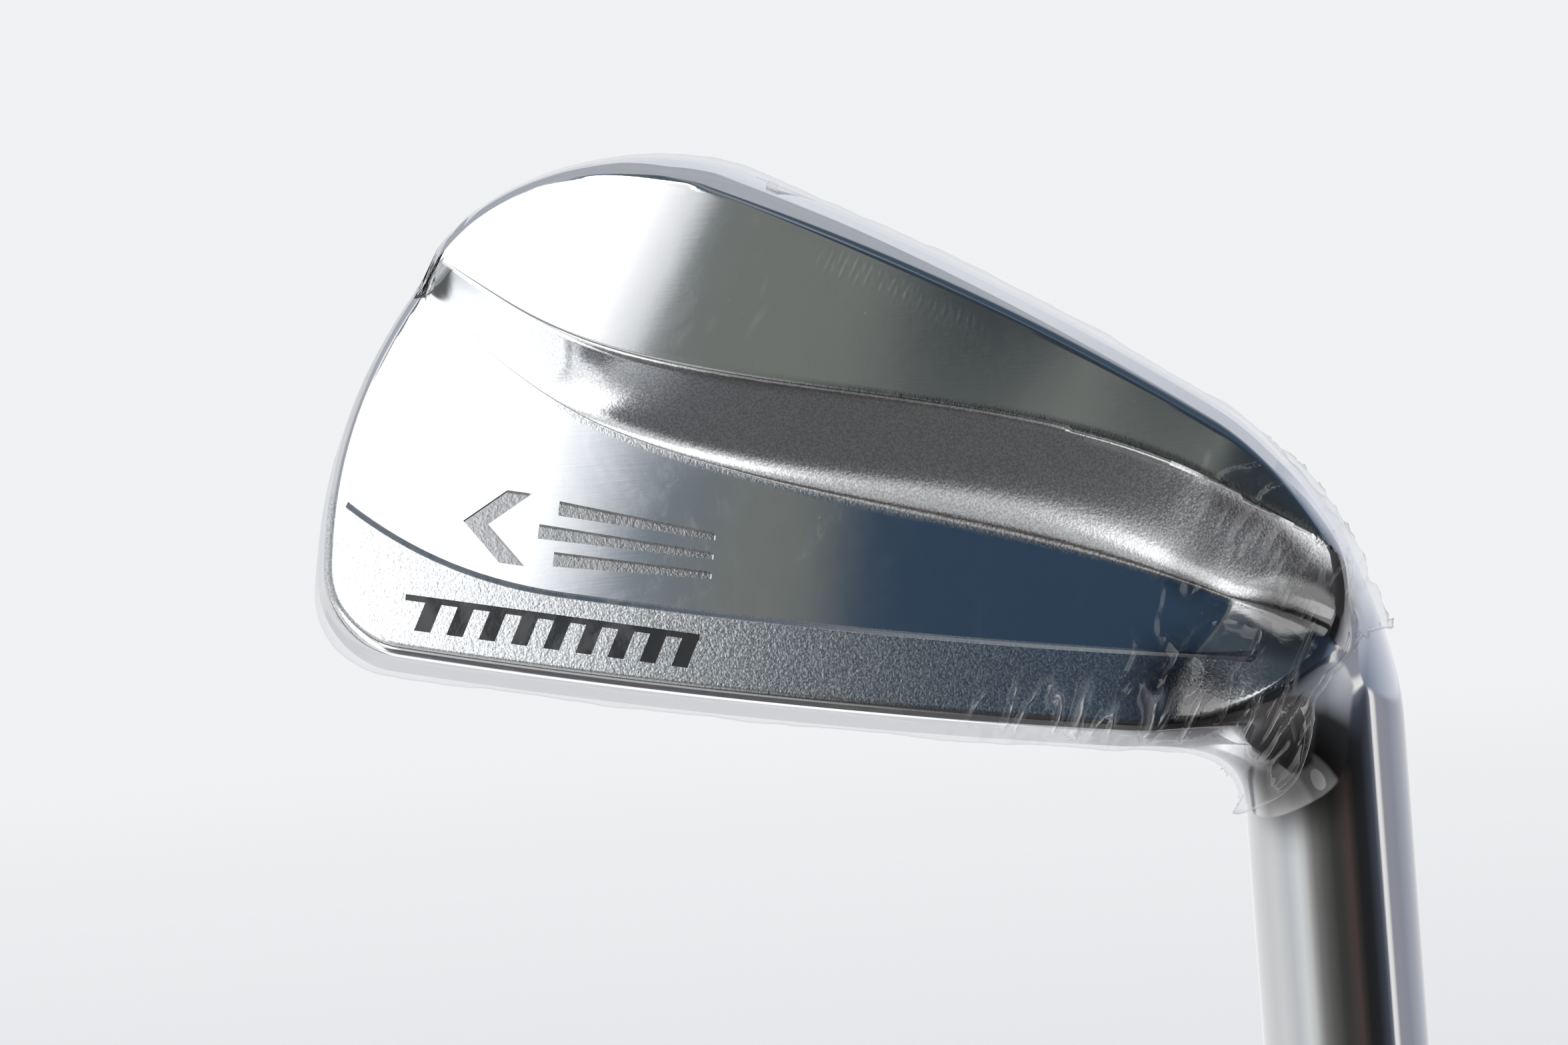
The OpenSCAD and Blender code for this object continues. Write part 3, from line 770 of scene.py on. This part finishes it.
def film_relief(skin, lip):
    """How far the film stands off the skin, and how much it is whitened, at each point of its rings.

    The film is baggy at the edges and near the neck, with an ear at the toe, folds near the neck, pleats
    by the topline's heel end and a comb of fine creases along the sole.
    """
    u, w, t = blade_coordinates(skin)
    near_neck = ease((9 - u) / 14)
    edge = 1 - ease((np.abs(gradient(skin) @ THROUGH) - 0.45) / 0.4)
    loose = waves(skin, 0.11) + 0.6 * waves(skin, 0.31)
    fine = waves(skin, np.array([0.9, 0.35, 0.35]))
    folds = ridges(skin, np.array([0.33, 0.2, 0.2]), 0.13)
    pleats = ridges(skin + 40, np.array([0.55, 0.1, 0.1]), 0.16)
    pleats *= ease((w - topline(u) + 5) / 3) * ease((16 - u) / 5) * ease((t - 2) / 2)
    ear = np.exp(-((u - 63) ** 2 + (w - 50) ** 2) / 14)
    comb_pitch, comb_height = 0.7, 2.6
    comb = (0.5 + 0.5 * np.cos((u + 0.5 * w) * math.tau / comb_pitch)) * ease((u - 24) / 4)
    comb *= ease((44 - u) / 6) * np.exp(-((w - foot_of_sole(u) - comb_height) / 1.1) ** 2) * (t > 5)
    gap = FILM_GAP + edge * (0.28 + 0.24 * loose + 0.07 * fine + 0.6 * ear)
    gap += near_neck * (0.12 + 0.2 * np.maximum(loose, 0) + 0.4 * folds) + 0.9 * pleats
    gap += 0.12 * comb + lip * (0.45 + 0.3 * waves(skin, 0.6))
    stress = 1.8 * lip + 0.25 * near_neck * folds + pleats + 0.5 * comb
    return np.maximum(gap, LEAST_GAP), np.clip(stress, 0, 1.8)


def make_film():
    """A clear skin over the head, tight on the blade and crumpled at its torn mouth."""
    toe_cuts, blade_cuts, fan_cuts = 30, 240, 70
    ring_pitch, lip_width = 0.16, 0.3
    sweep = Sweep(toe_cuts, blade_cuts, fan_cuts, flat_rays=22, step_rays=8, muscle_rays=14, end_rays=22)
    towards_topline = np.clip(-np.sin(sweep.circle_angle), 0, 1)
    towards_back = ease(np.cos(sweep.circle_angle))
    rag = np.array([noise.noise((3 * math.cos(a), 3 * math.sin(a), 5)) for a in sweep.circle_angle])
    ends = 0.3 + 0.3 * ease((towards_topline - 0.4) / 0.6) - 0.06 * towards_back + 0.025 * rag
    fan_start = toe_cuts + blade_cuts - 1
    skin = torn(sweep.skin(), ends, fan_start)
    directions = torn(sweep.directions, ends, fan_start)
    directions = directions / np.linalg.norm(directions, axis=-1, keepdims=True)
    rings, rays = skin.shape[:2]
    to_mouth = (rings - 1 - np.arange(rings))[:, None] * ring_pitch
    lip = np.exp(-(to_mouth / lip_width) ** 2)
    gap, stress = film_relief(skin, lip)
    thick = FILM_THICKNESS * (1 + 3 * lip)
    outer = skin + directions * gap[..., None]
    inner = skin + directions * (gap - thick)[..., None]
    half = rings * rays + 1
    skins = [np.append(side.reshape(-1, 3), [side[0].mean(0)], 0) for side in (outer, inner)]
    points = np.concatenate(skins)
    faces = band(rings, rays, flip=True)
    faces += fan_faces(range(rays), rings * rays)
    faces += band(rings, rays, half)
    faces += fan_faces(range(half, half + rays), half + rings * rays, flip=True)
    last = (rings - 1) * rays
    for i in range(rays):
        here, beside = last + i, last + (i + 1) % rays
        faces.append((beside, here, here + half, beside + half))
    piece = new_piece("shipping_film", to_club(points), faces, "protective_film", clear_film())
    piece.data.polygons.foreach_set("use_smooth", np.ones(len(faces), bool))
    one_skin = np.append(stress.ravel(), 0)
    set_attribute(piece.data, "stress", np.tile(one_skin, 2))
    set_attribute(piece.data, "outer_skin", np.repeat([1.0, 0.0], half))


# ---------------------------------------------------------------- grip
def grip_radius(z):
    """Radius of the plain grip at heights z, in mm up from its butt."""
    cap, _, length = np.array(GRIP_BOX[1]) / MM
    heights = [3.5, 5, 9, 14, 30, 50.8, 150, length - 6, length - 5, length - 0.4, length]
    radii = [cap, cap - 0.1, cap - 0.8, cap - 1.5, 11.8, 11.45, 10.15, 9.1, 8.9, 8.9, 8.5]
    return np.interp(z, heights, radii)


def make_grip(rubber):
    """A rubber sleeve with a diamond pattern of fine grooves between two plain ends."""
    bottom, top = (corner[2] / MM for corner in GRIP_BOX)
    sides, depth, turns, pitch = 140, 0.32, 14, 5.2
    z = np.concatenate([
        np.linspace(bottom, 16, 24, endpoint=False),
        np.linspace(16, top - 8, 430, endpoint=False),
        np.linspace(top - 8, top, 16),
    ])
    turn = np.arange(sides) / sides * math.tau
    rows, angle = z[:, None], turn[None, :]
    cut = np.zeros((len(z), sides))
    for way in (-1, 1):
        phase = angle * turns / math.tau + way * rows / pitch
        cut = np.maximum(cut, 1 - ease(np.abs(phase - np.round(phase)) / 0.13))
    dots = np.cos(angle * turns) * np.cos(math.tau * rows / pitch)
    patterned = ease((rows - 24) / 3) * ease((top - 30 - rows) / 3)
    rings = np.exp(-((rows - 20) / 0.7) ** 2) + np.exp(-((rows - top + 25) / 0.7) ** 2)
    radius = grip_radius(rows) - depth * cut * patterned + 0.05 * dots * patterned - 0.4 * rings
    heights = np.broadcast_to(rows, cut.shape)
    outer = np.stack([radius * np.cos(angle), radius * np.sin(angle), heights], -1)
    bore = SHAFT_RADIUS + TAPE_ROOM
    x, y = bore * np.cos(turn), bore * np.sin(turn)
    inner = [np.stack([x, y, np.full(sides, h)], -1) for h in (top, bottom)]
    points = np.concatenate([outer.reshape(-1, 3), *inner]) * MM
    count = len(z) + 2
    faces = band(count, sides)
    last = (count - 1) * sides
    faces += [(last + i, last + (i + 1) % sides, (i + 1) % sides, i) for i in range(sides)]
    piece = new_piece("grip_sleeve", points, faces, "grip", rubber)
    smooth = np.ones(len(faces), bool)
    smooth[(len(z) - 1) * sides:] = False
    piece.data.polygons.foreach_set("use_smooth", smooth)


# ---------------------------------------------------------------- stage
WINDOW_TOP = 24
SKY, DIM, PALE = (0.85, 0.87, 0.92), (0.36, 0.38, 0.41), (0.62, 0.63, 0.65)
OLIVE, SLATE, BLUE = (0.2, 0.212, 0.195), (0.17, 0.2, 0.22), (0.035, 0.064, 0.108)


def grey(value):
    return value, value, value


def around(n, angle, *stops):
    """Colours round the upright axis, from stops of an angle in degrees and a colour."""
    place = n.math("ADD", n.math("DIVIDE", angle, 360), 0.5)
    return n.ramp(place, [(degrees / 360 + 0.5, colour) for degrees, colour in stops])


def level_panels(n, azimuth):
    """The room at eye level, which the hosel and the shaft mirror."""
    return around(
        n, azimuth, (-180, grey(1)), (-150, grey(0.83)), (-115, (0.7, 0.7, 0.71)), (-95, grey(0.73)),
        (-72, (0.59, 0.61, 0.64)), (-54, (0.75, 0.77, 0.77)), (-44, grey(0.6)),
        (-37, (0.35, 0.35, 0.345)), (-30, (0.195, 0.195, 0.19)), (-18, (0.11, 0.11, 0.105)),
        (-3, (0.05, 0.05, 0.048)),
        (4, (0.046, 0.046, 0.044)), (12, (0.062, 0.052, 0.05)), (20, (0.078, 0.054, 0.052)),
        (26, (0.042, 0.036, 0.035)), (33, (0.021, 0.02, 0.021)), (46, (0.02, 0.022, 0.026)),
        (60, (0.056, 0.066, 0.088)), (66, (0.16, 0.17, 0.2)), (69, grey(0.95)), (74, (0.85, 0.83, 0.82)),
        (78, (0.32, 0.32, 0.36)), (100, (0.29, 0.31, 0.37)), (124, (0.42, 0.44, 0.5)),
        (142, (0.57, 0.585, 0.62)), (180, grey(1)),
    )


def upper_panels(n, azimuth, height):
    """Above eye level: a bright window with a leaning right edge, then the dark side of the room."""
    raised = n.math("SUBTRACT", height, WINDOW_TOP)
    slanted = n.math("SUBTRACT", azimuth, n.math("MULTIPLY", raised, 0.54))
    leaning = n.math("SUBTRACT", azimuth, n.math("MULTIPLY", raised, 0.31))
    window = [(-180, SKY), (-90, (0.8, 0.8, 0.82)), (-45, DIM), (-24, PALE)]
    window += [(-15, grey(1.3)), (-10, grey(2.2))]
    soft_edge = around(
        n, slanted, *window, (13, grey(2.2)), (16.2, grey(1.25)), (18.4, (0.85, 0.86, 0.87)),
        (19.1, SLATE), (20, OLIVE),
    )
    hard_edge = around(
        n, slanted, *window, (18, grey(2.2)), (18.9, (0.14, 0.2, 0.28)), (20.2, SLATE), (21, OLIVE),
    )
    low_panel = around(
        n, azimuth, (-180, SKY), (-90, (0.75, 0.76, 0.78)), (-45, DIM), (-27, PALE),
        (-16, (0.48, 0.49, 0.51)), (-4, (0.6, 0.6, 0.61)), (8, grey(0.8)), (18, grey(0.5)), (24, OLIVE),
    )
    far_side = [(66, (0.2, 0.24, 0.32)), (120, (0.6, 0.64, 0.72)), (150, SKY)]
    near_side = [(22, (0.034, 0.043, 0.05)), (52, (0.04, 0.06, 0.09))]
    low_shade = around(n, azimuth, (-180, SKY), *near_side, *far_side)
    high_shade = around(n, azimuth, (-180, SKY), (22, BLUE), (52, BLUE), *far_side)
    raising = n.soft_step(height, 26, 30)
    bright = n.mix(n.soft_step(height, 11, 19), low_panel, n.mix(raising, soft_edge, hard_edge))
    return n.mix(n.soft_step(leaning, 23.4, 24.4), bright, n.mix(raising, low_shade, high_shade))


def high_panels(n, azimuth):
    """Over the window: bright on the left, dark on the right with one stripe that the groove mirrors."""
    return around(
        n, azimuth, (-180, (0.8, 0.82, 0.85)), (-60, grey(1.2)), (2, grey(1.1)), (12, (0.2, 0.23, 0.26)),
        (17, (0.12, 0.15, 0.18)), (26, (0.08, 0.11, 0.14)), (32, (0.3, 0.32, 0.34)),
        (40, (0.06, 0.09, 0.13)), (60, (0.06, 0.09, 0.13)), (80, (0.45, 0.48, 0.54)), (140, SKY),
    )


def lower_panels(n, azimuth, height):
    """Below eye level: a pale bench, and under its slanting edge the dark floor."""
    bench = around(
        n, azimuth, (-180, (0.8, 0.8, 0.82)), (-145, (0.84, 0.84, 0.86)), (-138, (0.3, 0.3, 0.32)),
        (-132, (0.3, 0.3, 0.32)), (-125, grey(1)), (-95, grey(0.8)), (-60, grey(1.8)), (-27, grey(1.8)),
        (-20, grey(0.95)), (3, (0.72, 0.72, 0.71)), (10, grey(0.56)), (14, grey(0.45)), (18, grey(0.03)),
        (50, (0.03, 0.032, 0.035)), (64, (0.3, 0.31, 0.35)), (90, (0.8, 0.8, 0.83)),
        (142, (0.8, 0.8, 0.82)), (146, (0.12, 0.13, 0.15)), (158, (0.16, 0.17, 0.19)),
        (164, (0.75, 0.75, 0.77)), (180, (0.8, 0.8, 0.82)),
    )
    floor = around(
        n, azimuth, (-180, grey(1.5)), (-90, grey(1.5)), (-70, grey(0.8)), (-45, (0.42, 0.43, 0.45)),
        (-22, (0.15, 0.15, 0.16)), (10, grey(0.12)), (70, (0.1, 0.09, 0.09)), (110, (0.2, 0.2, 0.21)),
        (140, (0.36, 0.37, 0.4)), (180, (0.6, 0.6, 0.62)),
    )
    left = n.math("MAXIMUM", n.math("SUBTRACT", 7, azimuth), 0)
    far_left = n.math("MAXIMUM", n.math("SUBTRACT", -30, azimuth), 0)
    bench_edge = n.math("ADD", n.math("MULTIPLY", left, 0.45), n.math("MULTIPLY", far_left, 2.2))
    over_edge = n.soft_step(n.math("ADD", height, bench_edge), -33, -28)
    return n.mix(n.math("MULTIPLY", over_edge, n.soft_step(height, -67, -57)), floor, bench)


def sun_glow(n, direction):
    """A small bright spot below the horizon, in front of the head's back."""
    azimuth, height = math.radians(-3), math.radians(-22)
    flat = math.cos(height)
    sun = math.sin(azimuth) * flat, -math.cos(azimuth) * flat, math.sin(height)
    toward_sun = n.add("ShaderNodeVectorMath", operation="DOT_PRODUCT")
    n.link(direction, toward_sun.inputs[0])
    toward_sun.inputs[1].default_value = sun
    rim, core, strength = math.cos(math.radians(9)), math.cos(math.radians(4)), 6
    glow = n.soft_step(toward_sun.outputs["Value"], rim, core, 0, strength)
    return n.mix(glow, (0, 0, 0, 1), (1, 1, 1, 1))


def make_world():
    """Plain pale to the camera and to diffuse light; polished metal sees a studio of soft panels."""
    world = bpy.data.worlds.new("studio")
    bpy.context.scene.world = world
    world.use_nodes = True
    n = Nodes(world.node_tree)
    background = world.node_tree.nodes["Background"]
    direction = n.add("ShaderNodeTexCoord").outputs["Generated"]
    parts = n.add("ShaderNodeSeparateXYZ")
    n.link(direction, parts.inputs[0])
    x, y, z = parts.outputs
    degree = 180 / math.pi
    azimuth = n.math("MULTIPLY", n.math("ARCTAN2", x, n.math("MULTIPLY", y, -1)), degree)
    height = n.math("MULTIPLY", n.math("ARCSINE", z), degree)
    pattern = lower_panels(n, azimuth, height)
    pattern = n.mix(n.soft_step(height, -10.5, -8), pattern, level_panels(n, azimuth))
    pattern = n.mix(n.soft_step(height, -2.6, -0.6), pattern, upper_panels(n, azimuth, height))
    steep = n.math("ADD", azimuth, n.math("MULTIPLY", n.math("SUBTRACT", height, 34), 2.4))
    above = n.math("MULTIPLY", n.soft_step(steep, 22.3, 23.6), n.soft_step(height, 33.4, 34.2))
    pattern = n.mix(above, pattern, high_panels(n, azimuth))
    ceiling = (0.48, 0.5, 0.54, 1)
    pattern = n.mix(n.soft_step(height, 48, 53), pattern, ceiling)
    pattern = n.mix(1.0, pattern, sun_glow(n, direction), "ADD")
    path = n.add("ShaderNodeLightPath")
    backdrop, diffuse_light = (0.877, 0.884, 0.898, 1), (0.85, 0.86, 0.88, 1)
    seen = n.mix(path.outputs["Is Camera Ray"], pattern, backdrop)
    lit = n.mix(path.outputs["Is Diffuse Ray"], seen, diffuse_light)
    n.link(lit, background.inputs["Color"])


def make_floor():
    """A wide pale disc, just under the butt, that fades into the background far out."""
    radius, fade_start, fade_end, below = 30, 3, 14, (0, 0, -0.001)
    bpy.ops.mesh.primitive_circle_add(vertices=128, radius=radius, fill_type="NGON", location=below)
    floor = bpy.context.object
    floor.name = "floor"
    made = bpy.data.materials.new("floor")
    made.use_nodes = True
    n = Nodes(made.node_tree)
    shader = made.node_tree.nodes["Principled BSDF"]
    shader.inputs["Base Color"].default_value = (0.87, 0.872, 0.885, 1)
    shader.inputs["Roughness"].default_value = 0.8
    out = made.node_tree.nodes["Material Output"]
    clear = n.add("ShaderNodeBsdfTransparent")
    where = n.add("ShaderNodeTexCoord").outputs["Object"]
    length = n.add("ShaderNodeVectorMath", operation="LENGTH")
    n.link(where, length.inputs[0])
    mix = n.add("ShaderNodeMixShader")
    n.link(n.soft_step(length.outputs["Value"], fade_start, fade_end), mix.inputs[0])
    n.link(shader.outputs[0], mix.inputs[1])
    n.link(clear.outputs[0], mix.inputs[2])
    n.link(mix.outputs[0], out.inputs["Surface"])
    floor.data.materials.append(made)
    floor.visible_glossy = False


def make_camera():
    """Nearly level with the head's back, half a metre away, rolled so the shaft leans left."""
    rise, roll, distance = math.radians(2), math.radians(4.5), 500.0
    toward = np.array([0, -math.cos(rise), math.sin(rise)])
    side = np.array([1.0, 0, 0])
    top = np.cross(toward, side)
    right = math.cos(roll) * side - math.sin(roll) * top
    above = math.sin(roll) * side + math.cos(roll) * top
    off_right, off_above = -41.8, -7.7
    place = GROUND + off_right * right + off_above * above + distance * toward
    data = bpy.data.cameras.new("camera")
    data.sensor_width = 36
    data.lens = 141.6
    data.clip_end = 50
    camera = bpy.data.objects.new("camera", data)
    bpy.context.scene.collection.objects.link(camera)
    pose = np.eye(4)
    pose[:3] = np.column_stack([right, above, toward, place * MM])
    camera.matrix_world = Matrix(pose)
    bpy.context.scene.camera = camera


def make_light():
    """One large soft lamp, up in front on the left, that polished metal does not mirror."""
    data = bpy.data.lights.new("key", "AREA")
    data.size = 1.2
    data.energy = 14
    light = bpy.data.objects.new("key", data)
    bpy.context.scene.collection.objects.link(light)
    place, tilt = (-1.1, -0.9, 2.1), math.radians(40)
    light.matrix_world = Matrix.Translation(place) @ Matrix.Rotation(tilt, 4, "X")
    light.visible_camera = False
    light.visible_glossy = False


# ---------------------------------------------------------------- build
def carried(node, made):
    """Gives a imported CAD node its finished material."""
    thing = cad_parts[node]
    thing.data.materials.clear()
    thing.data.materials.append(made)


make_head()
make_film()
black = paint("black_paint", (0.012, 0.012, 0.014), 0.25, 3000)
carried("mark_fill", black)
carried("number_fill", paint("number_paint", (0.8, 0.8, 0.8), 0.3, 3000))
carried("ferrule", paint("ferrule_black", (0.012, 0.012, 0.013), 0.08, 300))
carried("epoxy", paint("epoxy_glue", (0.7, 0.62, 0.4), 0.3, 800))
carried("tip_weight", turned_brass())
carried("shaft", shaft_chrome())
carried("shaft_band", band_label())
carried("grip_tape", paint("tape_paper", (0.62, 0.53, 0.36), 0.75, 1500))
rubber = grip_rubber()
make_grip(rubber)
carried("grip_cap", rubber)
make_world()
make_floor()
make_light()
make_camera()
bpy.context.scene.view_settings.view_transform = "Standard"
